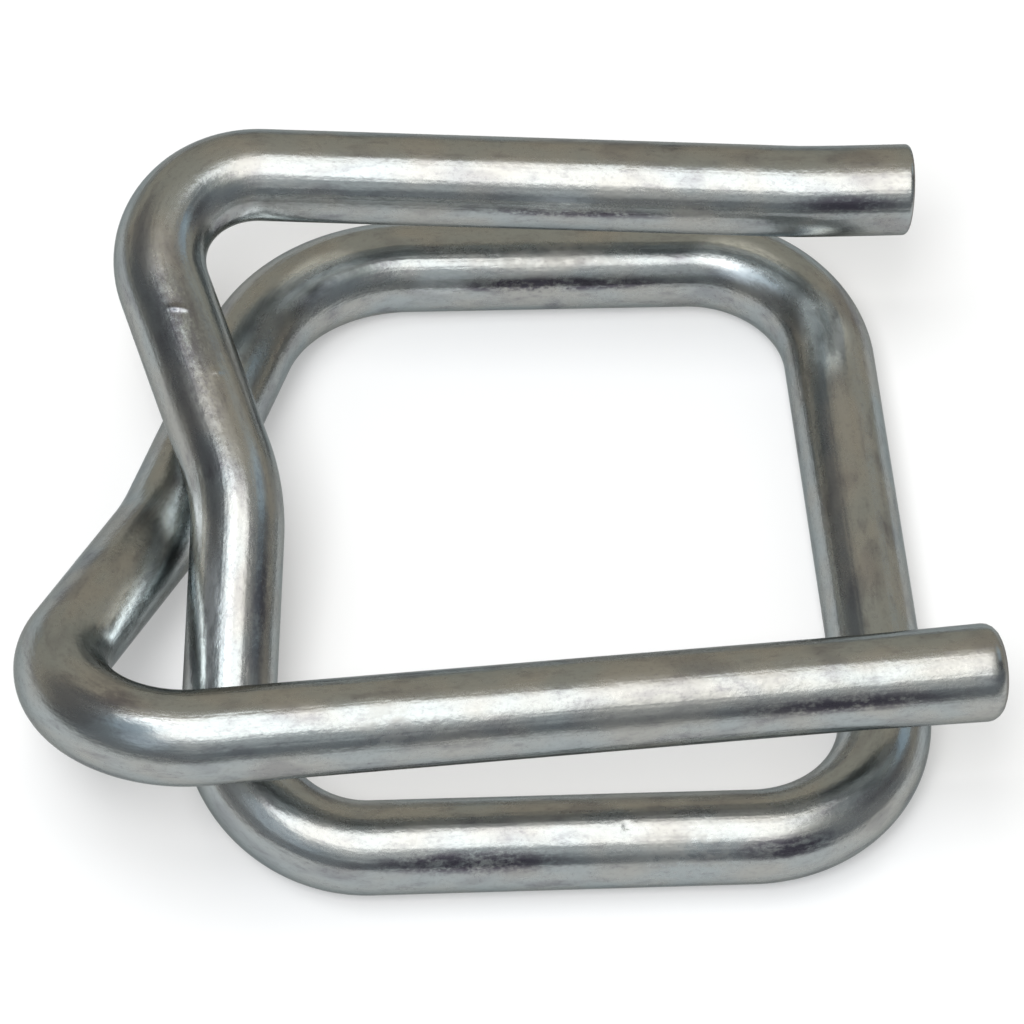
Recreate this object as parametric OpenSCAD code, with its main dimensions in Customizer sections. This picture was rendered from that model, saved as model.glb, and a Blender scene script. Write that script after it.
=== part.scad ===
// Strapping buckle bent from one length of round wire.
// The wire makes a four-sided frame. On the frame's left its two legs cross, rise above the frame
// and turn back over it as two straight prongs with free ends, which the strap loops slip over.
// Lengths are in millimetres and angles in degrees. The frame lies flat on z = 0, x runs along the
// prongs to their free ends, and y runs from the front bar to the back bar.

/* [Wire] */
// diameter of the wire
wire_d = 3.5; // [2.8:0.1:4.2]
// rounding of the cut edge at the back prong's free end
back_end_round = 0.2; // [0.1:0.05:0.9]
// rounding of the cut edge at the front prong's free end
front_end_round = 0.6; // [0.1:0.05:0.9]

/* [Frame] */
// depth of the frame, between the centrelines of its front and back bars
frame_depth = 27; // [24:0.5:34]
// length of the front bar, from the right bar's centreline to the corner point on the left
front_bar = 25.3; // [23:0.1:30]
// length of the back bar, from the right bar's centreline to the corner point on the left
back_bar = 20.6; // [19:0.1:24]
// inside radius of the bend between the front bar and the right bar
front_right_bend = 3.85; // [1:0.05:7]
// inside radius of the bend between the right bar and the back bar
back_right_bend = 3.3; // [1:0.05:7]
// inside radius of the bend at the left end of the front bar
front_left_bend = 3.2; // [1:0.05:7]
// inside radius of the bend at the left end of the back bar
back_left_bend = 5.45; // [1:0.05:7]

/* [Back prong] */
// distance from the right bar's centreline to the corner point where the back prong begins
back_prong_reach = 27.4; // [26:0.1:30]
// distance that corner point lies in from the back bar's centreline
back_corner_inset = 0.1; // [0:0.05:1.5]
// clear gap between the frame and the wire at that corner point
back_corner_gap = 2.85; // [1.5:0.05:4.5]
// how far the free end stands out past the right bar's centreline
back_prong_overhang = 2.75; // [0:0.05:6]
// distance the free end lies in from the back bar's centreline
back_end_inset = 1.5; // [0:0.05:4]
// clear gap between the frame and the wire at the free end
back_end_gap = 2.3; // [1:0.05:4.5]
// inside radius of the bend where the back prong begins
back_prong_bend = 2.2; // [1:0.05:4]

/* [Front prong] */
// distance from the right bar's centreline to the corner point where the front prong begins
front_prong_reach = 34.4; // [32:0.1:38]
// distance that corner point lies in from the front bar's centreline
front_corner_inset = 0.1; // [0:0.05:1.5]
// clear gap between the frame and the wire at that corner point
front_corner_gap = 2.95; // [1.5:0.05:4.5]
// how far the free end stands out past the right bar's centreline
front_prong_overhang = 3.28; // [0:0.01:6]
// distance the free end lies in from the front bar's centreline
front_end_inset = 3.25; // [0:0.05:4]
// clear gap between the frame and the wire at the free end
front_end_gap = 2.1; // [1:0.05:4.5]
// inside radius of the bend where the front prong begins
front_prong_bend = 2.6; // [1:0.05:4]

/* [Crossing] */
// clear gap between the two legs where one passes over the other
cross_gap = 0.1; // [0.05:0.05:1]
// distance from the right bar's centreline to the kink in the upper leg
over_kink_reach = 23.9; // [23:0.05:26]
// how far in front of the frame's middle the upper leg's kink lies
over_kink_front = 0.4; // [-1:0.05:2]
// inside radius of the upper leg's kink
over_kink_bend = 6.9; // [3:0.1:9]
// distance from the right bar's centreline to the kink in the lower leg
under_kink_reach = 26.55; // [25:0.05:29]
// how far behind the frame's middle the lower leg's kink lies
under_kink_back = 0.2; // [-1:0.05:2]
// height of the lower leg's centreline above the frame's at its kink
under_kink_lift = 1.4; // [0.5:0.05:2]
// inside radius of the lower leg's kink
under_kink_bend = 6.4; // [3:0.1:9]

/* [Hidden] */
$fa = 3;
$fs = 0.2;
wire_r = wire_d / 2;
half_depth = frame_depth / 2;

// corner points of the wire's centreline, measured from the right bar's middle at frame level
back_tip = [back_prong_overhang, half_depth - back_end_inset, wire_d + back_end_gap];
back_corner = [-back_prong_reach, half_depth - back_corner_inset, wire_d + back_corner_gap];
frame_front_left = [-front_bar, -half_depth, 0];
frame_front_right = [0, -half_depth, 0];
frame_back_right = [0, half_depth, 0];
frame_back_left = [-back_bar, half_depth, 0];
under_kink = [-under_kink_reach, under_kink_back, under_kink_lift];
front_corner = [-front_prong_reach, front_corner_inset - half_depth, wire_d + front_corner_gap];
front_tip = [front_prong_overhang, front_end_inset - half_depth, wire_d + front_end_gap];

// The upper leg's kink is as high as the leg needs to clear the lower leg where they cross in plan.
over_run = [back_prong_reach - over_kink_reach, -over_kink_front - back_corner.y];
under_run = [under_kink.x - frame_back_left.x, under_kink.y - frame_back_left.y];
apart = [frame_back_left.x - back_corner.x, frame_back_left.y - back_corner.y];
plan_cross = over_run.x * under_run.y - over_run.y * under_run.x;
over_share = (apart.x * under_run.y - apart.y * under_run.x) / plan_cross;
under_share = (apart.x * over_run.y - apart.y * over_run.x) / plan_cross;
// The legs slope, so the upright distance between them is more than the clear one. It depends on the
// kink's height, which is found in a few rounds.
function over_leg(height) = [over_run.x, over_run.y, height - back_corner.z];
function upright(height) =
    norm(cross(over_leg(height), under_kink - frame_back_left)) / abs(plan_cross);
function over_height(height) =
    under_share * under_kink.z + (wire_d + cross_gap) * upright(height);
function kink_height(height, rounds) = rounds == 0 ? height
    : kink_height(back_corner.z + (over_height(height) - back_corner.z) / over_share, rounds - 1);
over_kink = [-over_kink_reach, -over_kink_front, kink_height(wire_d, 6)];

path = [back_tip, back_corner, over_kink, frame_front_left, frame_front_right,
        frame_back_right, frame_back_left, under_kink, front_corner, front_tip];
inside_bend = [0, back_prong_bend, over_kink_bend, front_left_bend, front_right_bend,
               back_right_bend, back_left_bend, under_kink_bend, front_prong_bend, 0];
last = len(path) - 1;

function unit(v) = v / norm(v);
function heading(i) = unit(path[i + 1] - path[i]);
function bend_radius(i) = inside_bend[i] + wire_r;
function bend_angle(i) = acos(heading(i - 1) * heading(i));
function setback(i) = i == 0 || i == last ? 0 : bend_radius(i) * tan(bend_angle(i) / 2);
function bend_start(i) = path[i] - setback(i) * heading(i - 1);
function bend_end(i) = path[i] + setback(i) * heading(i);
function inward(i) = unit(unit(path[i - 1] - path[i]) + heading(i));
function bend_centre(i) = path[i] + inward(i) * bend_radius(i) / cos(bend_angle(i) / 2);
function bend_normal(i) = unit(cross(heading(i - 1), heading(i)));
function end_reach(tip, along, edge) =
    tip.x - edge * along.x + (wire_r - edge) * sqrt(1 - along.x * along.x) + edge;

// the x that puts the origin under the middle of the whole buckle
left_normal = bend_normal(last - 1);
left_span = bend_radius(last - 1) * sqrt(1 - left_normal.x * left_normal.x);
left_limit = bend_centre(last - 1).x - left_span - wire_r;
right_limit = max(end_reach(front_tip, heading(last - 1), front_end_round),
                  end_reach(back_tip, -heading(0), back_end_round));
middle_x = (left_limit + right_limit) / 2;

// puts what is drawn along z at a place, with z along a direction and x along a side
module along(place, direction, side) {
    up = unit(direction);
    right = unit(side - (side * up) * up);
    ahead = cross(up, right);
    multmatrix([[right.x, ahead.x, up.x, place.x],
                [right.y, ahead.y, up.y, place.y],
                [right.z, ahead.z, up.z, place.z],
                [0, 0, 0, 1]])
        children();
}

// a straight run of wire between two bends
module straight(i) {
    from = bend_end(i);
    to = bend_start(i + 1);
    along(from, to - from, [0, 0, 1])
        cylinder(r = wire_r, h = norm(to - from));
}

// a bend of the wire at a corner point
module bend(i) {
    arm = bend_start(i) - bend_centre(i);
    along(bend_centre(i), cross(arm, heading(i - 1)), arm)
        rotate_extrude(angle = bend_angle(i))
            translate([bend_radius(i), 0])
                circle(r = wire_r);
}

// a straight prong from its bend to its free end, whose cut edge is rounded
module prong(from, tip, edge) {
    long = norm(tip - from);
    along(from, tip - from, [0, 0, 1])
        rotate_extrude() {
            square([wire_r, long - edge]);
            square([wire_r - edge, long]);
            translate([wire_r - edge, long - edge])
                intersection() {
                    circle(r = edge);
                    square(edge);
                }
        }
}

// the whole buckle, one bent wire
module buckle_wire() {
    color([0.62, 0.62, 0.60])
        translate([-middle_x, 0, wire_r]) {
            prong(bend_start(1), back_tip, back_end_round);
            for (i = [1 : last - 1]) {
                bend(i);
            }
            for (i = [1 : last - 2]) {
                straight(i);
            }
            prong(bend_end(last - 1), front_tip, front_end_round);
        }
}

buckle_wire();
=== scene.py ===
"""Dresses a wire strapping buckle: one length of zinc-coated drawn wire, bent and cut."""

from __future__ import annotations

import logging
import math
from dataclasses import dataclass, field
from enum import Enum
from typing import Any

import bmesh
import bpy
from mathutils import Matrix, Vector, noise


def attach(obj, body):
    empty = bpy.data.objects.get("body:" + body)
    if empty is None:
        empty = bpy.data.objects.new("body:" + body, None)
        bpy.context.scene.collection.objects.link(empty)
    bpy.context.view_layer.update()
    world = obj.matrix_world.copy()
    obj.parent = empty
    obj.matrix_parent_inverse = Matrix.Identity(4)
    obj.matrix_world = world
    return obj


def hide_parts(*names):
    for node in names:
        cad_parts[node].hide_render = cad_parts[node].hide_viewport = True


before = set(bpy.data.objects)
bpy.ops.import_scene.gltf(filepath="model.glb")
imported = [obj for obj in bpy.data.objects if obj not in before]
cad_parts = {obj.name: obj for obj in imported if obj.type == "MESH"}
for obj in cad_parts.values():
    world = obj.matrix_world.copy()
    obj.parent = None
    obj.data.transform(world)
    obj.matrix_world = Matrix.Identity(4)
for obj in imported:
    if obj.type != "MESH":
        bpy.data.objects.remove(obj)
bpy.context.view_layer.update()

MM = 0.001
TINY = 1e-6
KINK_ROUNDS = 6
NODE = "buckle_wire"
BODY = "root"
Colour = tuple[float, float, float, float]
log = logging.getLogger("buckle")


class Material(Enum):
    """Names of the materials in the scene."""

    ZINC = "zinc_on_drawn_wire"
    FLOOR = "pale_floor"


class Layer(Enum):
    """Attributes of the wire's mesh that its finish reads."""

    DRAWN = "drawn_wire"
    SCUFF = "scuff"
    # The next two attributes carry painted light: painted highlights, and painted shade that is partly
    # handling stain.
    PAINTED_SHINE = "burnish"
    STAIN = "stain"
    CUT = "cut_face"


class LampUse(Enum):
    """What a lamp is there for."""

    MIRRORED = "seen in the metal"
    FLOOR = "lights the floor and casts the shadow"


class MarkKind(Enum):
    """Kinds of mark on the wire: tool marks and zinc runs, painted highlights, and painted dark reflection
    bands that are partly handling stain.
    """

    CLAMP = "a shallow flat where a bending tool held the wire"
    RIDGE = "a short raised run of zinc across the wire"
    SPECK = "a small raised speck of zinc, or the pit that one left"
    # Painted highlight: a brighter metal colour that paints in bright reflections, not a mark that a tool
    # left.
    BURNISH = "a bright stretch rubbed by the bending tool"
    # Painted shade, partly real: a darker metal colour that paints in dark reflection bands beside the
    # highlights, with some handling stain.
    STAIN = "a stretch that handling has darkened"


MARK_LAYERS = {
    MarkKind.CLAMP: Layer.SCUFF,
    MarkKind.BURNISH: Layer.PAINTED_SHINE,
    MarkKind.STAIN: Layer.STAIN,
}


@dataclass(frozen=True)
class Step:
    """A smooth step from 0 up to its top, between two values."""

    low: float
    high: float
    top: float = 1.0


@dataclass(frozen=True)
class Pattern:
    """A noise on the straight wire: its cells for each millimetre, its finer layers and their strength."""

    across: float
    along: float
    layers: float
    rough: float = 0.5


@dataclass(frozen=True)
class Value:
    """A socket of a node graph, with the operators that shader sums need."""

    graph: Graph
    socket: bpy.types.NodeSocket

    def _math(self, operation: str, *others: Any) -> Value:
        """Adds a Math node on this socket and others."""
        node = self.graph.node("ShaderNodeMath", {"operation": operation}, dict(enumerate((self, *others))))
        return Value(self.graph, node.outputs[0])

    def __add__(self, other: Any) -> Value:
        """Sum of two values."""
        return self._math("ADD", other)

    __radd__ = __add__

    def __mul__(self, other: Any) -> Value:
        """Product of two values."""
        return self._math("MULTIPLY", other)

    __rmul__ = __mul__

    def __sub__(self, other: Any) -> Value:
        """Difference of two values."""
        return self._math("SUBTRACT", other)

    def __rsub__(self, other: float) -> Value:
        """A number less this value."""
        return (self * -1.0) + other

    def most(self, other: Any) -> Value:
        """The larger of two values."""
        return self._math("MAXIMUM", other)

    def step(self, step: Step) -> Value:
        """Passes this value through a smooth step.

        Args:
            step: Where the step begins and ends, and its top.

        Returns:
            The stepped value, from 0 to the step's top.
        """
        settings = {"interpolation_type": "SMOOTHSTEP"}
        inputs = {"Value": self, "From Min": step.low, "From Max": step.high, "To Max": step.top}
        node = self.graph.node("ShaderNodeMapRange", settings, inputs)
        return Value(self.graph, node.outputs["Result"])


@dataclass
class Graph:
    """A node tree that is written as expressions."""

    tree: bpy.types.NodeTree

    def node(self, kind: str, settings: dict[str, Any], inputs: dict[Any, Any]) -> bpy.types.Node:
        """Adds one node.

        Args:
            kind: The node's type.
            settings: Properties that are set first.
            inputs: Values or links, by socket name or index.

        Returns:
            The new node.
        """
        made = self.tree.nodes.new(kind)
        for name, setting in settings.items():
            setattr(made, name, setting)
        for key, given in inputs.items():
            if isinstance(given, Value):
                self.tree.links.new(given.socket, made.inputs[key])
            else:
                made.inputs[key].default_value = given
        return made

    def attribute(self, layer: Layer, output: str) -> Value:
        """Reads an attribute of the mesh."""
        node = self.node("ShaderNodeAttribute", {"attribute_name": layer.value}, {})
        return Value(self, node.outputs[output])

    def noise(self, place: Value, pattern: Pattern) -> Value:
        """Adds a noise on the straight wire.

        Args:
            place: The place on the straight wire, in millimetres, with z along it.
            pattern: The noise's cells and layers.

        Returns:
            The noise, about 0.5 on average.
        """
        stretch = (pattern.across, pattern.across, pattern.along)
        scaled = self.node("ShaderNodeVectorMath", {"operation": "MULTIPLY"}, {0: place, 1: stretch})
        inputs = {
            "Vector": Value(self, scaled.outputs[0]),
            "Scale": 1.0,
            "Detail": pattern.layers,
            "Roughness": pattern.rough,
        }
        return Value(self, self.node("ShaderNodeTexNoise", {}, inputs).outputs["Fac"])

    def mix(self, share: Value, first: Any, second: Any) -> Value:
        """Mixes two colours.

        Args:
            share: Share of the second colour.
            first: A colour or a link.
            second: A colour or a link.

        Returns:
            The mixed colour.
        """
        settings = {"data_type": "RGBA", "clamp_factor": True}
        node = self.node("ShaderNodeMix", settings, {0: share, 6: first, 7: second})
        return Value(self, node.outputs[2])


@dataclass(frozen=True)
class BuckleSizes:
    """Sizes of the bent wire in millimetres, as the part's source names them."""

    wire_d: float = 3.5
    back_end_round: float = 0.2
    front_end_round: float = 0.6
    frame_depth: float = 27.0
    front_bar: float = 25.3
    back_bar: float = 20.6
    front_right_bend: float = 3.85
    back_right_bend: float = 3.3
    front_left_bend: float = 3.2
    back_left_bend: float = 5.45
    back_prong_reach: float = 27.4
    back_corner_inset: float = 0.1
    back_corner_gap: float = 2.85
    back_prong_overhang: float = 2.75
    back_end_inset: float = 1.5
    back_end_gap: float = 2.3
    back_prong_bend: float = 2.2
    front_prong_reach: float = 34.4
    front_corner_inset: float = 0.1
    front_corner_gap: float = 2.95
    front_prong_overhang: float = 3.28
    front_end_inset: float = 3.25
    front_end_gap: float = 2.1
    front_prong_bend: float = 2.6
    cross_gap: float = 0.1
    over_kink_reach: float = 23.9
    over_kink_front: float = 0.4
    over_kink_bend: float = 6.9
    under_kink_reach: float = 26.55
    under_kink_back: float = 0.2
    under_kink_lift: float = 1.4
    under_kink_bend: float = 6.4

    def _raised(self, x: float, y: float, gap: float) -> Vector:
        """A point of a wire that clears the frame by a gap."""
        return Vector((x, y, self.wire_d + gap))

    def corner_points(self) -> list[Vector]:
        """Corner points of the centreline, from the back prong's free end to the front prong's.

        Returns:
            The points in millimetres, measured from the right bar's middle at frame level.
        """
        half = self.frame_depth / 2
        back_tip = self._raised(self.back_prong_overhang, half - self.back_end_inset, self.back_end_gap)
        back_corner = self._raised(
            -self.back_prong_reach, half - self.back_corner_inset, self.back_corner_gap
        )
        back_left = Vector((-self.back_bar, half, 0.0))
        under_kink = Vector((-self.under_kink_reach, self.under_kink_back, self.under_kink_lift))
        front_corner = self._raised(
            -self.front_prong_reach, self.front_corner_inset - half, self.front_corner_gap
        )
        front_tip = self._raised(self.front_prong_overhang, self.front_end_inset - half, self.front_end_gap)
        return [
            back_tip,
            back_corner,
            self._over_kink(back_corner, back_left, under_kink),
            Vector((-self.front_bar, -half, 0.0)),
            Vector((0.0, -half, 0.0)),
            Vector((0.0, half, 0.0)),
            back_left,
            under_kink,
            front_corner,
            front_tip,
        ]

    def _over_kink(self, back_corner: Vector, back_left: Vector, under_kink: Vector) -> Vector:
        """The upper leg's kink, as high as the leg needs to clear the lower leg.

        Args:
            back_corner: Where the back prong begins.
            back_left: Where the lower leg leaves the back bar.
            under_kink: The lower leg's kink.

        Returns:
            The kink's corner point.
        """
        kink = Vector((-self.over_kink_reach, -self.over_kink_front, self.wire_d))
        over = (kink - back_corner).xy
        under = (under_kink - back_left).xy
        apart = (back_left - back_corner).xy
        plan = over.cross(under)
        over_share = apart.cross(under) / plan
        under_share = apart.cross(over) / plan
        for _ in range(KINK_ROUNDS):
            leg = kink - back_corner
            upright = leg.cross(under_kink - back_left).length / abs(plan)
            height = under_share * under_kink.z + (self.wire_d + self.cross_gap) * upright
            kink.z = back_corner.z + (height - back_corner.z) / over_share
        return kink

    def bend_radii(self) -> list[float]:
        """Centreline radii of the bends.

        Returns:
            The radius at each corner point in millimetres, 0 at the free ends.
        """
        inside = [
            self.back_prong_bend,
            self.over_kink_bend,
            self.front_left_bend,
            self.front_right_bend,
            self.back_right_bend,
            self.back_left_bend,
            self.under_kink_bend,
            self.front_prong_bend,
        ]
        return [0.0, *(r + self.wire_d / 2 for r in inside), 0.0]


@dataclass(frozen=True)
class Bend:
    """One bend of the centreline, in metres."""

    start: Vector
    end: Vector
    centre: Vector
    axis: Vector
    angle: float
    radius: float


@dataclass
class WireRoute:
    """The wire's centreline as straight runs and bends, in metres and in the part's frame."""

    sizes: BuckleSizes
    tips: list[Vector] = field(default_factory=list)
    bends: list[Bend] = field(default_factory=list)

    def __post_init__(self) -> None:
        """Works out the bends and moves the route into the part's frame."""
        points = self.sizes.corner_points()
        radii = self.sizes.bend_radii()
        made = [self._bend(points[i - 1 : i + 2], radii[i]) for i in range(1, len(points) - 1)]
        wire_r = self.sizes.wire_d / 2
        leftmost = made[-1]
        left = leftmost.centre.x - leftmost.radius * math.sqrt(1.0 - leftmost.axis.x**2) - wire_r
        front_reach = self._end_reach(points[-1], points[-2], self.sizes.front_end_round)
        back_reach = self._end_reach(points[0], points[1], self.sizes.back_end_round)
        shift = Vector((-(left + max(front_reach, back_reach)) / 2, 0.0, wire_r))
        self.tips = [(p + shift) * MM for p in (points[0], points[-1])]
        for b in made:
            ends = [(p + shift) * MM for p in (b.start, b.end, b.centre)]
            self.bends.append(Bend(*ends, b.axis, b.angle, b.radius * MM))

    def _end_reach(self, tip: Vector, before: Vector, edge: float) -> float:
        """How far to the right a free end reaches.

        Args:
            tip: The free end's middle.
            before: The corner point before it.
            edge: The rounding of its edge.

        Returns:
            The largest x of the end.
        """
        ahead = (tip - before).normalized().x
        return tip.x - edge * ahead + (self.sizes.wire_d / 2 - edge) * math.sqrt(1.0 - ahead**2) + edge

    @staticmethod
    def _bend(points: list[Vector], radius: float) -> Bend:
        """Works out the bend at the middle one of three corner points.

        Args:
            points: The corner points.
            radius: The bend's centreline radius.

        Returns:
            The bend, in the points' unit.
        """
        before, corner, after = points
        into = (corner - before).normalized()
        out = (after - corner).normalized()
        angle = into.angle(out)
        setback = radius * math.tan(angle / 2)
        inward = (out - into).normalized()
        centre = corner + inward * (radius / math.cos(angle / 2))
        axis = into.cross(out).normalized()
        return Bend(corner - into * setback, corner + out * setback, centre, axis, angle, radius)


@dataclass(frozen=True)
class Mark:
    """A mark on the wire.

    Its place is in millimetres along the wire from the back prong's free end, and in degrees round it. Its
    height is in millimetres, and its share is how much of the finish changes in its middle.
    """

    kind: MarkKind
    along: float
    around: float
    length: float
    width: float
    height: float = 0.0
    share: float = 0.0
    skew: float = 0.0

    def strength(self, along: float, turn: float, radius: float) -> float:
        """How much of the mark a point has.

        Args:
            along: The point's distance along the wire, in millimetres.
            turn: The point's angle round the wire, in radians.
            radius: The wire's radius, in millimetres.

        Returns:
            From 0, outside the mark, to 1 in its middle.
        """
        if abs(along - self.along) > self.length + self.width:
            return 0.0
        aside = math.remainder(turn - math.radians(self.around), math.tau) * radius
        off = (along - self.along - aside * self.skew) / (self.length / 2)
        reach = off * off + (aside / (self.width / 2)) ** 2
        return 0.0 if reach >= 1.0 else (1.0 - reach) ** 2


@dataclass
class WireSweep:
    """Grows a tube with extrude, spin and scale, and notes each ring's place on the straight wire."""

    mesh: bmesh.types.BMesh
    radius: float
    segments: int
    along: float = 0.0
    ring_radius: float = 0.0
    centre: Vector = field(default_factory=Vector)
    ring: list[bmesh.types.BMEdge] = field(default_factory=list)

    def begin(self, centre: Vector, heading: Vector, ring_radius: float) -> None:
        """Starts with a small disc at a free end.

        Args:
            centre: The disc's middle.
            heading: The way the wire goes from there.
            ring_radius: The disc's radius.
        """
        drawn = self.mesh.verts.layers.float_vector.new(Layer.DRAWN.value)
        place = Matrix.Translation(centre) @ heading.to_track_quat("Z", "Y").to_matrix().to_4x4()
        bmesh.ops.create_circle(
            self.mesh, cap_ends=True, cap_tris=True, radius=ring_radius, segments=self.segments, matrix=place
        )
        inverse = place.inverted()
        for v in self.mesh.verts:
            flat = inverse @ v.co
            v[drawn] = (flat.x / MM, flat.y / MM, 0.0)
        self.ring = [e for e in self.mesh.edges if e.is_boundary]
        self.centre = centre.copy()
        self.ring_radius = ring_radius

    def _verts(self) -> list[bmesh.types.BMVert]:
        """The ring's vertices."""
        return list({v for e in self.ring for v in e.verts})

    def _drawn(self) -> bmesh.types.BMLayerItem:
        """The attribute that holds the place on the straight wire."""
        return self.mesh.verts.layers.float_vector[Layer.DRAWN.value]

    def advance(self, move: Vector, ring_radius: float, rings: int = 1) -> None:
        """Moves the wire on by one straight step.

        Args:
            move: The step.
            ring_radius: The new ring's radius.
            rings: Number of rings in the step.
        """
        drawn = self._drawn()
        made = bmesh.ops.extrude_edge_only(self.mesh, edges=self.ring)["geom"]
        fresh = {g for g in made if isinstance(g, bmesh.types.BMVert)}
        sides = [g for g in made if isinstance(g, bmesh.types.BMFace)]
        self.ring = [g for g in made if isinstance(g, bmesh.types.BMEdge) and set(g.verts) <= fresh]
        share = ring_radius / self.ring_radius
        self.along += move.length / MM
        if not math.isclose(share, 1.0):
            space = Matrix.Translation(-self.centre)
            bmesh.ops.scale(self.mesh, vec=(share, share, share), space=space, verts=list(fresh))
        for v in fresh:
            v[drawn] = (v[drawn].x * share, v[drawn].y * share, self.along)
        bmesh.ops.translate(self.mesh, vec=move, verts=list(fresh))
        if rings > 1:
            long = {e for f in sides for e in f.edges if len(fresh & set(e.verts)) == 1}
            bmesh.ops.subdivide_edges(self.mesh, edges=list(long), cuts=rings - 1, use_grid_fill=True)
        self.centre += move
        self.ring_radius = ring_radius

    def turn(self, bend: Bend, rings: int) -> None:
        """Takes the wire round a bend.

        Args:
            bend: The bend.
            rings: Number of rings in the bend.
        """
        drawn = self._drawn()
        before = len(self.mesh.verts)
        made = bmesh.ops.spin(
            self.mesh,
            geom=[*self._verts(), *self.ring],
            cent=bend.centre,
            axis=bend.axis,
            dvec=(0.0, 0.0, 0.0),
            angle=bend.angle,
            steps=rings,
            use_merge=False,
            use_duplicate=False,
        )["geom_last"]
        self.ring = [g for g in made if isinstance(g, bmesh.types.BMEdge)]
        self.mesh.verts.ensure_lookup_table()
        out = (bend.start - bend.centre).normalized()
        ahead = bend.axis.cross(out)
        for v in self.mesh.verts[before:]:
            arm = v.co - bend.centre
            angle = math.atan2(arm.dot(ahead), arm.dot(out))
            v[drawn] = (*v[drawn].xy, self.along + bend.radius * angle / MM)
        self.along += bend.radius * bend.angle / MM
        self.centre = bend.end.copy()

    def close(self) -> None:
        """Closes the last ring with a fan."""
        face = bmesh.ops.contextual_create(self.mesh, geom=self.ring)["faces"]
        made = bmesh.ops.poke(self.mesh, faces=face)["verts"]
        drawn = self._drawn()
        for v in made:
            v[drawn] = (0.0, 0.0, self.along)


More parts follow.
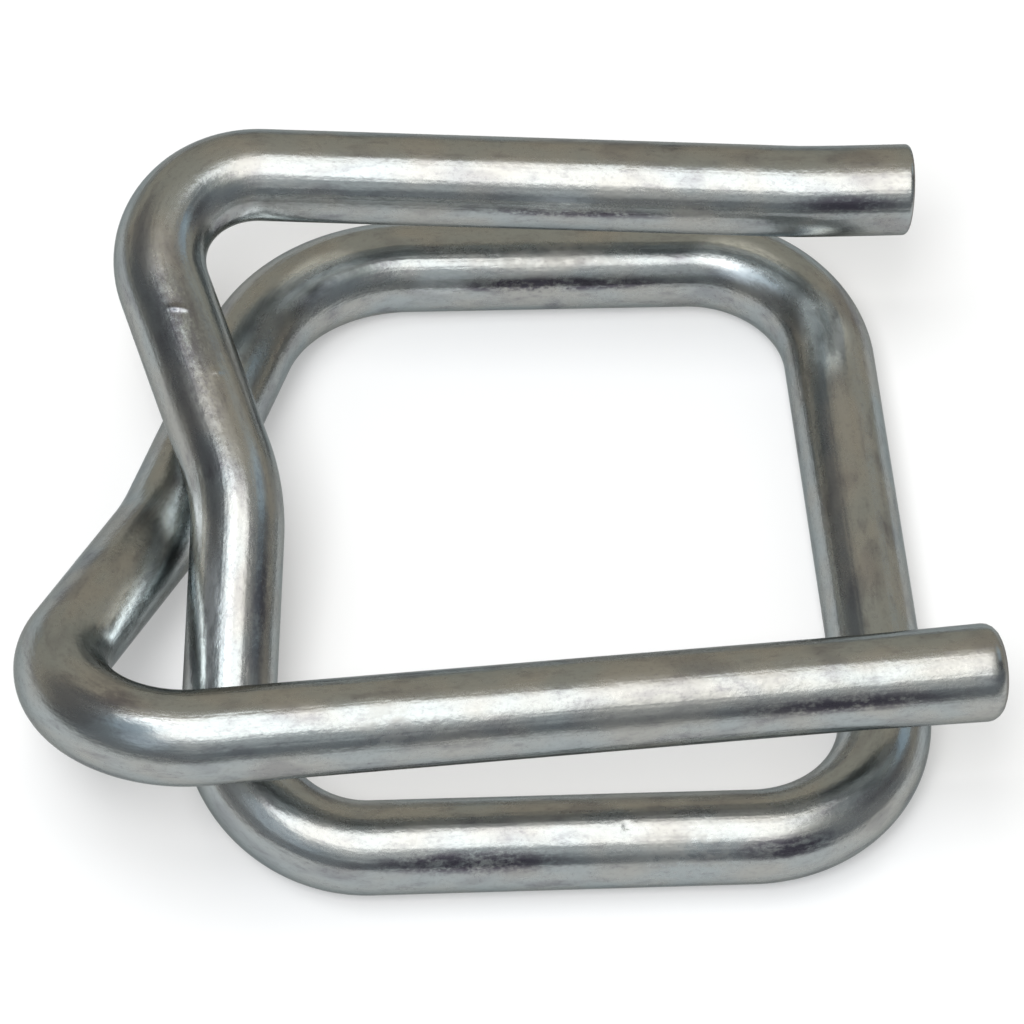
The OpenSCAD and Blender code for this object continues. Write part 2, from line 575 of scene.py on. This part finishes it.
@dataclass
class BuckleWire:
    """The buckle: one drawn wire, bent, with two cut ends. Lengths are in millimetres."""

    sizes: BuckleSizes = field(default_factory=BuckleSizes)
    segments: int = 80
    straight_step: float = 0.26
    fine_step: float = 0.09
    fine_reach: float = 0.6
    round_steps: int = 5
    least_bend_rings: int = 4
    face_rings: tuple[float, ...] = (0.3, 0.55, 0.8)
    cut_share: float = 0.97
    waviness: float = 0.006
    waves_across: float = 0.6
    waves_along: float = 0.35
    tail: float = 4.4
    tail_rise: tuple[float, float, float] = (0.0, 0.15, 0.15)
    tail_curve: float = 1.2
    flare_reach: float = 5.0
    flare: float = 1.04
    flare_inset: float = 0.015
    marks: tuple[Mark, ...] = (
        Mark(MarkKind.RIDGE, 34.03, 87.5, 0.3, 1.1, height=0.05, skew=-0.5),
        Mark(MarkKind.SPECK, 36.97, 70.0, 0.3, 0.3, height=0.05),
        Mark(MarkKind.SPECK, 40.69, 126.6, 0.3, 0.35, height=0.03),
        Mark(MarkKind.SPECK, 67.15, 81.0, 0.5, 0.4, height=-0.05),
        Mark(MarkKind.SPECK, 24.95, 34.0, 0.35, 0.3, height=0.03),
        Mark(MarkKind.SPECK, 24.5, 27.0, 0.3, 0.3, height=0.03),
        Mark(MarkKind.CLAMP, 69.55, 118.0, 6.4, 3.4, height=-0.012, share=1.0),
        Mark(MarkKind.CLAMP, 158.65, 142.0, 3.2, 2.6, height=-0.012, share=0.9),
        Mark(MarkKind.CLAMP, 25.55, -12.0, 2.4, 1.8, height=-0.012, share=0.5),
        Mark(MarkKind.CLAMP, 110.8, 36.0, 12.0, 2.4, height=-0.006, share=0.8),
        # These stretches paint dark reflection bands beside the highlights as a darker colour; a little of it
        # is handling stain.
        Mark(MarkKind.STAIN, 35.2, 92.0, 13.0, 3.2, share=0.35),
        Mark(MarkKind.STAIN, 61.3, 120.5, 11.0, 1.4, share=0.75),
        Mark(MarkKind.STAIN, 73.0, 115.5, 5.0, 1.3, share=0.7),
        Mark(MarkKind.STAIN, 110.8, 0.0, 15.0, 0.9, share=0.8),
        Mark(MarkKind.STAIN, 13.0, 12.5, 13.0, 0.7, share=0.6),
        Mark(MarkKind.STAIN, 2.6, 34.0, 7.0, 1.3, share=0.6),
        Mark(MarkKind.STAIN, 175.6, 157.0, 14.0, 1.2, share=0.6),
        Mark(MarkKind.STAIN, 149.0, 98.0, 5.0, 2.2, share=0.3),
        Mark(MarkKind.STAIN, 46.0, 53.0, 9.0, 1.6, share=0.4),
        # These stretches are painted highlights: a brighter metal colour that paints in bright reflections.
        Mark(MarkKind.BURNISH, 140.8, 9.0, 8.0, 2.6, share=1.0),
        Mark(MarkKind.BURNISH, 46.8, 120.0, 8.0, 1.5, share=1.0),
        Mark(MarkKind.BURNISH, 44.0, 152.0, 7.0, 2.6, share=1.0),
        Mark(MarkKind.BURNISH, 102.5, 41.0, 7.0, 2.2, share=1.0),
        Mark(MarkKind.BURNISH, 97.6, 52.0, 6.0, 2.6, share=0.9),
        Mark(MarkKind.BURNISH, 120.8, 48.0, 7.0, 2.2, share=0.8),
        Mark(MarkKind.BURNISH, 25.2, -11.0, 4.0, 1.6, share=0.9),
        Mark(MarkKind.BURNISH, 134.9, 38.0, 5.0, 3.2, share=0.9),
        Mark(MarkKind.BURNISH, 41.3, -153.0, 5.0, 4.0, share=1.0),
        Mark(MarkKind.BURNISH, 115.0, 2.0, 4.0, 1.2, share=0.4),
        Mark(MarkKind.BURNISH, 13.6, 26.0, 5.0, 1.2, share=0.4),
    )

    def build(self) -> bpy.types.Object:
        """Models the wire.

        Returns:
            The wire's object, which stands for the CAD node.
        """
        route = WireRoute(self.sizes)
        mesh = bmesh.new()
        sweep = WireSweep(mesh, self.sizes.wire_d / 2 * MM, self.segments)
        self._back_end(sweep, route)
        for bend in route.bends:
            self._run(sweep, bend.start)
            self._bend(sweep, bend)
        self._front_end(sweep, route)
        bmesh.ops.recalc_face_normals(mesh, faces=mesh.faces)
        self._relief(mesh)
        log.info("wire of %.1f mm", sweep.along)
        data = bpy.data.meshes.new("drawn_wire")
        mesh.to_mesh(data)
        mesh.free()
        for face in data.polygons:
            face.use_smooth = True
        obj = bpy.data.objects.new("drawn_wire", data)
        bpy.context.scene.collection.objects.link(obj)
        return obj

    def _edge_profile(self, edge: float) -> list[tuple[float, float]]:
        """Works out the rounded edge of a cut face.

        Args:
            edge: The edge's rounding.

        Returns:
            Depth behind the cut face and wire radius, from the face outwards, in metres.
        """
        wire_r = self.sizes.wire_d / 2
        turns = [math.pi / 2 * i / self.round_steps for i in range(self.round_steps + 1)]
        return [((edge - edge * math.cos(t)) * MM, (wire_r - edge + edge * math.sin(t)) * MM) for t in turns]

    def _back_end(self, sweep: WireSweep, route: WireRoute) -> None:
        """Starts the wire at the back prong's free end.

        Args:
            sweep: The growing wire.
            route: The wire's centreline.
        """
        heading = (route.bends[0].start - route.tips[0]).normalized()
        profile = self._edge_profile(self.sizes.back_end_round)
        rim = profile[0][1]
        sweep.begin(route.tips[0], heading, rim * self.face_rings[0])
        for share in self.face_rings[1:]:
            sweep.advance(Vector(), rim * share)
        depth = 0.0
        for deep, radius in profile:
            sweep.advance(heading * (deep - depth), radius)
            depth = deep

    def _front_end(self, sweep: WireSweep, route: WireRoute) -> None:
        """Ends the wire at the front prong's free end, which flares a little.

        Args:
            sweep: The growing wire.
            route: The wire's centreline.
        """
        heading = (route.tips[1] - route.bends[-1].end).normalized()
        profile = self._edge_profile(self.sizes.front_end_round)
        edge = self.sizes.front_end_round * MM
        tip = route.tips[1] - heading * (self.flare_inset * MM)
        self._run(sweep, tip - heading * (self.flare_reach * MM))
        long = self.flare_reach * MM - edge
        sweep.advance(heading * long, sweep.radius * self.flare, math.ceil(long / (self.straight_step * MM)))
        depth = edge
        for deep, radius in reversed(profile[:-1]):
            sweep.advance(heading * (depth - deep), radius * self.flare)
            depth = deep
        rim = profile[0][1] * self.flare
        for share in reversed(self.face_rings):
            sweep.advance(Vector(), rim * share)
        sweep.close()

    def _run(self, sweep: WireSweep, end: Vector) -> None:
        """Draws the wire straight on to a point, with finer rings by a raised mark.

        Args:
            sweep: The growing wire.
            end: The run's end.
        """
        rest = end - sweep.centre
        length = rest.length / MM
        heading = rest.normalized()
        begin = sweep.along
        raised = (MarkKind.RIDGE, MarkKind.SPECK)
        places = sorted(m.along - begin for m in self.marks if m.kind in raised)
        stops: list[tuple[float, float]] = []
        for place in (p for p in places if 0.0 < p < length):
            stops.append((place - self.fine_reach, self.straight_step))
            stops.append((place + self.fine_reach, self.fine_step))
        done = 0.0
        for stop, step in (*stops, (length, self.straight_step)):
            part = min(stop, length) - done
            if part > TINY:
                sweep.advance(heading * (part * MM), sweep.radius, math.ceil(part / step))
                done += part

    def _bend(self, sweep: WireSweep, bend: Bend) -> None:
        """Draws the wire round a bend."""
        outside = bend.angle * (bend.radius + sweep.radius)
        sweep.turn(bend, max(self.least_bend_rings, math.ceil(outside / (self.straight_step * MM))))

    def _relief(self, mesh: bmesh.types.BMesh) -> None:
        """Moves the surface by the wire's waviness and marks, and notes the marks and the cut faces.

        Args:
            mesh: The swept wire.
        """
        for layer in (Layer.CUT, *MARK_LAYERS.values()):
            mesh.verts.layers.float.new(layer.value)
        drawn = mesh.verts.layers.float_vector[Layer.DRAWN.value]
        cut = mesh.verts.layers.float[Layer.CUT.value]
        noted = {kind: mesh.verts.layers.float[layer.value] for kind, layer in MARK_LAYERS.items()}
        radius = self.sizes.wire_d / 2
        moves: list[tuple[bmesh.types.BMVert, Vector]] = []
        for v in mesh.verts:
            place = v[drawn]
            turn = math.atan2(place.y, place.x)
            across = place.xy * self.waves_across
            wave = noise.noise(Vector((*across, place.z * self.waves_along)))
            rise = self.waviness * (wave - 1.0) / 2
            for mark in self.marks:
                strength = mark.strength(place.z, turn, radius)
                rise += mark.height * strength
                if mark.kind in noted:
                    layer = noted[mark.kind]
                    v[layer] = max(v[layer], mark.share * strength)
            v[cut] = 0.0 if place.xy.length > self.cut_share * radius else 1.0
            turned_up = Vector(self.tail_rise) * max(0.0, 1.0 - place.z / self.tail) ** self.tail_curve
            moves.append((v, (v.normal * rise + turned_up) * MM))
        for v, move in moves:
            v.co += move

    def dress(self, obj: bpy.types.Object, coat: ZincCoat) -> None:
        """Gives the wire its finish and its place on the frame.

        Args:
            obj: The wire's object.
            coat: The wire's finish.
        """
        obj.data.materials.append(coat.material())
        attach(obj, BODY)
        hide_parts(NODE)


@dataclass(frozen=True)
class ZincCoat:
    """Satin zinc on drawn wire: fine lines along the wire, a dull mottle, tool marks, painted highlights,
    painted dark reflection bands that are partly handling stain, and bare cut ends.
    """

    cool: Colour = (0.335, 0.366, 0.37, 1.0)
    warm: Colour = (0.368, 0.37, 0.352, 1.0)
    dirt: Colour = (0.16, 0.155, 0.175, 1.0)
    worn: Colour = (0.4, 0.395, 0.375, 1.0)
    bare: Colour = (0.27, 0.255, 0.24, 1.0)
    # Painted shade, partly handling stain: the next colour paints dark reflection bands beside the highlights.
    shade_and_soot: Colour = (0.1, 0.093, 0.115, 1.0)
    # Painted highlight: the next colour is laid on where bright reflections are painted in.
    highlight_paint: Colour = (0.74, 0.79, 0.8, 1.0)
    rim: Colour = (0.42, 0.44, 0.44, 1.0)
    lines: Pattern = Pattern(4.5, 0.07, 1.0, 0.6)
    grain: Pattern = Pattern(4.2, 2.7, 2.0, 0.6)
    mottle: Pattern = Pattern(0.55, 0.3, 2.0)
    blotch: Pattern = Pattern(2.4, 0.9, 3.0, 0.6)
    speck: Pattern = Pattern(7.0, 5.0, 2.0, 0.7)
    patch: Pattern = Pattern(0.95, 0.45, 1.0)
    warm_step: Step = Step(0.35, 0.65)
    blotch_dirt: Step = Step(0.5, 0.78, 0.42)
    speck_dirt: Step = Step(0.5, 0.72, 0.22)
    patch_dirt: Step = Step(0.52, 0.75, 0.36)
    worn_step: Step = Step(0.6, 1.0)
    worn_mottle: float = 0.6
    worn_share: float = 0.5
    shade_and_soot_step: Step = Step(0.0, 0.6)
    shade_and_soot_ragged: Step = Step(0.42, 0.68)
    shade_and_soot_blotch: float = 0.7
    shade_and_soot_speck: float = 0.5
    highlight_paint_step: Step = Step(0.0, 0.6)
    highlight_paint_ragged: Step = Step(0.2, 0.6)
    roughness: float = 0.23
    mottle_roughness: Step = Step(0.3, 0.75, 0.08)
    scuff_roughness: float = 0.16
    line_roughness: float = 0.1
    speck_roughness: float = 0.1
    cut_roughness: float = 0.15
    line_height: float = 0.01
    grain_height: float = 0.009
    patch_height: float = 0.021

    def material(self) -> bpy.types.Material:
        """Makes the wire's material.

        Returns:
            The material.
        """
        made = bpy.data.materials.new(Material.ZINC.value)
        made.use_nodes = True
        graph = Graph(made.node_tree)
        shader = made.node_tree.nodes["Principled BSDF"]
        place = graph.attribute(Layer.DRAWN, "Vector")
        scuff = graph.attribute(Layer.SCUFF, "Fac")
        cut = graph.attribute(Layer.CUT, "Fac")
        highlight_paint_mask = graph.attribute(Layer.PAINTED_SHINE, "Fac")
        stain = graph.attribute(Layer.STAIN, "Fac")
        lines = graph.noise(place, self.lines)
        grain = graph.noise(place, self.grain)
        mottle = graph.noise(place, self.mottle)
        blotch = graph.noise(place, self.blotch)
        speck = graph.noise(place, self.speck)
        patch = graph.noise(place, self.patch)
        worn = scuff * (grain + mottle * self.worn_mottle).step(self.worn_step)
        dirt = blotch.step(self.blotch_dirt) + speck.step(self.speck_dirt) + patch.step(self.patch_dirt)
        ragged = (blotch * self.shade_and_soot_blotch + speck * self.shade_and_soot_speck).step(self.shade_and_soot_ragged)
        colour = graph.mix(mottle.step(self.warm_step), self.cool, self.warm)
        colour = graph.mix(dirt, colour, self.dirt)
        colour = graph.mix(worn * self.worn_share, colour, self.worn)
        # Painted shade, partly handling stain: dark reflection bands are laid on where the marks ask for them.
        colour = graph.mix(stain.step(self.shade_and_soot_step) * ragged, colour, self.shade_and_soot)
        # Painted highlight: brighter metal colour laid on where bright reflections are painted in.
        highlight_paint_share = highlight_paint_mask.step(self.highlight_paint_step) * blotch.step(self.highlight_paint_ragged)
        colour = graph.mix(highlight_paint_share, colour, self.highlight_paint)
        colour = graph.mix(cut, colour, self.bare)
        rough = mottle.step(self.mottle_roughness) + self.roughness
        rough = rough + worn * self.scuff_roughness + cut * self.cut_roughness
        rough = rough + (lines - 0.5) * self.line_roughness + (speck - 0.5) * self.speck_roughness
        height = lines * self.line_height + grain * self.grain_height + patch * self.patch_height
        bump = graph.node("ShaderNodeBump", {}, {"Strength": 1.0, "Distance": MM, "Height": height})
        shader.inputs["Metallic"].default_value = 1.0
        shader.inputs["Specular Tint"].default_value = self.rim
        made.node_tree.links.new(colour.socket, shader.inputs["Base Color"])
        made.node_tree.links.new(rough.socket, shader.inputs["Roughness"])
        made.node_tree.links.new(bump.outputs["Normal"], shader.inputs["Normal"])
        return made


@dataclass(frozen=True)
class Softbox:
    """A soft lamp that faces the buckle.

    Tilt is in degrees from overhead to the front, and lean from overhead to the right.
    """

    name: str
    tilt: float
    lean: float
    distance: float
    wide: float
    deep: float
    radiance: float
    colour: tuple[float, float, float] = (1.0, 1.0, 1.0)
    use: LampUse = LampUse.MIRRORED

    def build(self) -> None:
        """Adds the lamp."""
        lamp = bpy.data.lights.new(self.name, "AREA")
        lamp.shape = "RECTANGLE"
        lamp.size = self.wide
        lamp.size_y = self.deep
        lamp.color = self.colour
        lamp.energy = self.radiance * math.pi * self.wide * self.deep
        obj = bpy.data.objects.new(self.name, lamp)
        lean = Matrix.Rotation(math.radians(self.lean), 4, "Y")
        tilt = Matrix.Rotation(math.radians(self.tilt), 4, "X")
        obj.matrix_world = lean @ tilt @ Matrix.Translation((0.0, 0.0, self.distance))
        obj.visible_glossy = self.use is LampUse.MIRRORED
        obj.visible_diffuse = self.use is LampUse.FLOOR
        bpy.context.scene.collection.objects.link(obj)


@dataclass(frozen=True)
class Card:
    """A soft-edged patch of the room, by its compass angle from the right and its height, in degrees."""

    angle: float
    height: float
    inner: float
    outer: float
    colour: Colour

    def over(self, graph: Graph, look: Value, colour: Any) -> Value:
        """Lays the card over a colour.

        Args:
            graph: The world's graph.
            look: The direction looked in.
            colour: What lies behind the card.

        Returns:
            The colour with the card.
        """
        flat = math.cos(math.radians(self.height))
        ahead = (
            flat * math.cos(math.radians(self.angle)),
            flat * math.sin(math.radians(self.angle)),
            math.sin(math.radians(self.height)),
        )
        node = graph.node("ShaderNodeVectorMath", {"operation": "DOT_PRODUCT"}, {0: look, 1: ahead})
        edge = Step(math.cos(math.radians(self.outer)), math.cos(math.radians(self.inner)))
        return graph.mix(Value(graph, node.outputs["Value"]).step(edge), colour, self.colour)


@dataclass(frozen=True)
class Studio:
    """The pale floor, the soft light and the camera."""

    floor_half: float = 1.5
    floor_painted_falloff: Step = Step(0.035, 0.12)
    floor_own: float = 1.15
    floor_own_share: float = 0.3
    floor_roughness: float = 0.9
    floor_colour: Colour = (0.865, 0.865, 0.865, 1.0)
    floor_painted_dim: Colour = (0.3, 0.3, 0.29, 1.0)
    eye: tuple[float, float, float] = (-0.03992, -0.174765, 0.241837)
    right: tuple[float, float, float] = (0.990139, -0.10021, 0.097895)
    up: tuple[float, float, float] = (0.022579, 0.803818, 0.594447)
    focal_pixels: float = 7943.3
    picture_pixels: float = 1024.0
    sensor: float = 36.0
    nearest: float = 0.01
    back_wall: Colour = (0.57, 0.52, 0.43, 1.0)
    front_wall: Colour = (0.31, 0.33, 0.35, 1.0)
    front_floor_edge: Colour = (0.27, 0.285, 0.305, 1.0)
    wall_foot: Step = Step(0.12, 0.36)
    wall_turn: Step = Step(-0.05, 0.3)
    cards: tuple[Card, ...] = (
        Card(155.0, 37.0, 16.0, 33.0, (0.19, 0.19, 0.195, 1.0)),
        Card(178.0, 18.0, 8.0, 26.0, (0.17, 0.17, 0.175, 1.0)),
        Card(2.0, 31.0, 6.0, 22.0, (0.1, 0.1, 0.115, 1.0)),
        Card(22.0, 36.0, 6.0, 15.0, (0.7, 0.9, 1.05, 1.0)),
        Card(236.0, 37.0, 6.0, 22.0, (0.82, 0.91, 1.0, 1.0)),
        Card(205.0, 60.0, 6.0, 22.0, (0.7, 0.82, 0.92, 1.0)),
        Card(278.0, 38.0, 6.0, 22.0, (0.78, 0.8, 0.81, 1.0)),
        Card(318.0, 54.0, 6.0, 20.0, (0.62, 0.64, 0.6, 1.0)),
    )
    softboxes: tuple[Softbox, ...] = (
        Softbox("overhead_softbox", 15.5, 2.0, 0.6, 0.44, 0.562, 2.8, (1.0, 0.97, 0.945)),
        Softbox("side_softbox", -4.0, -20.0, 0.6, 0.22, 0.11, 3.1),
        Softbox("key_softbox", 27.6, -16.4, 0.8, 0.26, 0.26, 17.0, use=LampUse.FLOOR),
        Softbox("top_softbox", 2.0, -16.0, 0.8, 0.4, 0.4, 4.9, use=LampUse.FLOOR),
    )

    def build(self) -> None:
        """Sets up the stage."""
        self._floor()
        self._world()
        for box in self.softboxes:
            box.build()
        self._camera()
        bpy.context.scene.view_settings.view_transform = "Standard"

    def _floor(self) -> None:
        """Lays the floor that the buckle lies on."""
        mesh = bmesh.new()
        bmesh.ops.create_grid(mesh, x_segments=2, y_segments=2, size=self.floor_half)
        data = bpy.data.meshes.new("floor")
        mesh.to_mesh(data)
        mesh.free()
        floor = bpy.data.objects.new("floor", data)
        bpy.context.scene.collection.objects.link(floor)
        data.materials.append(self._floor_material())

    def _floor_material(self) -> bpy.types.Material:
        """Makes the floor's material: pale by the buckle and painted darker away from it as a painted falloff
        of light, with a little light of its own.

        Returns:
            The material.
        """
        made = bpy.data.materials.new(Material.FLOOR.value)
        made.use_nodes = True
        links = made.node_tree.links
        graph = Graph(made.node_tree)
        shader = made.node_tree.nodes["Principled BSDF"]
        place = Value(graph, graph.node("ShaderNodeTexCoord", {}, {}).outputs["Object"])
        # Painted shade: the floor's colour darkens with distance from the buckle, standing in for light that
        # falls off.
        far = graph.node("ShaderNodeVectorMath", {"operation": "LENGTH"}, {0: place})
        share = Value(graph, far.outputs["Value"]).step(self.floor_painted_falloff)
        colour = graph.mix(share, self.floor_colour, self.floor_painted_dim)
        links.new(colour.socket, shader.inputs["Base Color"])
        shader.inputs["Roughness"].default_value = self.floor_roughness
        shader.inputs["Specular IOR Level"].default_value = 0.0
        path = graph.node("ShaderNodeLightPath", {}, {})
        seen = Value(graph, path.outputs["Is Camera Ray"])
        seen = seen.most(Value(graph, path.outputs["Is Glossy Ray"]))
        seen = seen.most(Value(graph, path.outputs["Is Transmission Ray"]))
        own = graph.node("ShaderNodeEmission", {}, {"Color": colour, "Strength": self.floor_own})
        mixed = graph.node("ShaderNodeMixShader", {}, {0: seen * self.floor_own_share})
        links.new(shader.outputs[0], mixed.inputs[1])
        links.new(own.outputs[0], mixed.inputs[2])
        links.new(mixed.outputs[0], made.node_tree.nodes["Material Output"].inputs["Surface"])
        return made

    def _world(self) -> None:
        """Colours the room round the buckle, by direction."""
        world = bpy.data.worlds.new("studio")
        bpy.context.scene.world = world
        world.use_nodes = True
        graph = Graph(world.node_tree)
        ahead = Value(graph, graph.node("ShaderNodeTexCoord", {}, {}).outputs["Generated"])
        parts = graph.node("ShaderNodeSeparateXYZ", {}, {0: ahead})
        depth = Value(graph, parts.outputs["Y"])
        height = Value(graph, parts.outputs["Z"])
        colour = graph.mix(height.step(self.wall_foot), self.front_floor_edge, self.front_wall)
        colour = graph.mix(depth.step(self.wall_turn), colour, self.back_wall)
        for card in self.cards:
            colour = card.over(graph, ahead, colour)
        back = world.node_tree.nodes["Background"]
        world.node_tree.links.new(colour.socket, back.inputs["Color"])

    def _camera(self) -> None:
        """Puts the camera where the photograph was taken from."""
        data = bpy.data.cameras.new("camera")
        data.sensor_width = self.sensor
        data.lens = self.focal_pixels / self.picture_pixels * self.sensor
        data.clip_start = self.nearest
        obj = bpy.data.objects.new("camera", data)
        right = Vector(self.right).normalized()
        back = right.cross(Vector(self.up)).normalized()
        up = back.cross(right)
        turn = Matrix((right, up, back)).transposed().to_4x4()
        obj.matrix_world = Matrix.Translation(self.eye) @ turn
        bpy.context.scene.collection.objects.link(obj)
        bpy.context.scene.camera = obj


def main() -> None:
    """Builds and dresses the buckle and its stage."""
    logging.basicConfig(level=logging.INFO, format="%(name)s: %(message)s")
    Studio().build()
    buckle = BuckleWire()
    wire = buckle.build()
    buckle.dress(wire, ZincCoat())
    log.info("%s: %d faces", wire.name, len(wire.data.polygons))


if __name__ == "__main__":
    main()
